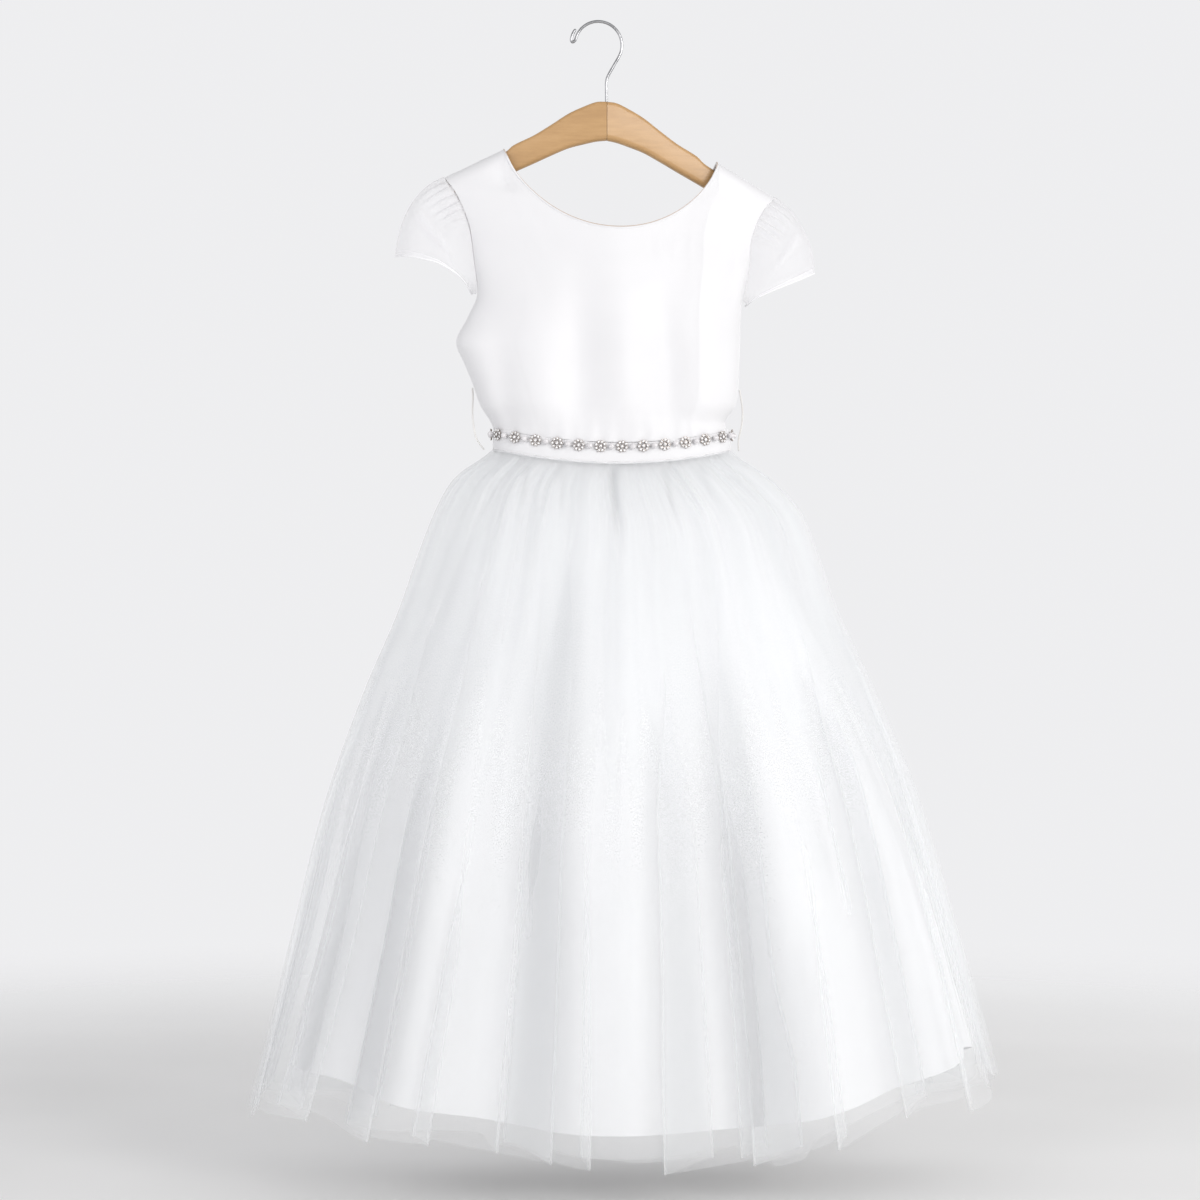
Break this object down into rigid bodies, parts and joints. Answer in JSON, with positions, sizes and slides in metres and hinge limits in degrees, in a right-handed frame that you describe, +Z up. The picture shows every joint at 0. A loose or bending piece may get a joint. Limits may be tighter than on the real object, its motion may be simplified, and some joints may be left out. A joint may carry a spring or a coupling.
{
  "type": "tulle dress on a hanger",
  "caption": "Child's dress with a satin bodice, sheer cap sleeves, beaded waistband and gathered tulle skirt, hung on a wooden hanger with a wire hook.",
  "frame": {"origin": "inside of the hook's crown, where a rail or peg carries the hanger", "axes": "+Z up, the front of the dress faces -Y, +X is to the right as the front is seen"},
  "size_m": [0.7458, 0.2622, 1.1252],
  "materials": {
    "satin": "soft satin, faint sheen",
    "tulle": "sheer soft net",
    "organza": "sheer crisp weave",
    "beads": "pearls and clear faceted stones",
    "cord": "twisted thread",
    "wood": "smooth, clear lacquer",
    "wire": "polished"
  },
  "bodies": {
    "root": {"bodice_front": "satin", "bodice_back_left": "satin", "bodice_back_right": "satin", "sleeve_left": "organza", "sleeve_right": "organza", "waistband": "satin", "bead_trim": "beads", "tulle_outer": "tulle", "tulle_under": "tulle", "skirt_lining": "satin", "belt_loop_left": "cord", "belt_loop_right": "cord", "button_1": "satin", "button_2": "satin", "button_3": "satin", "button_4": "satin", "hanger_arm_left": "wood", "hanger_arm_right": "wood", "hook": "wire"}
  },
  "joints": []
}
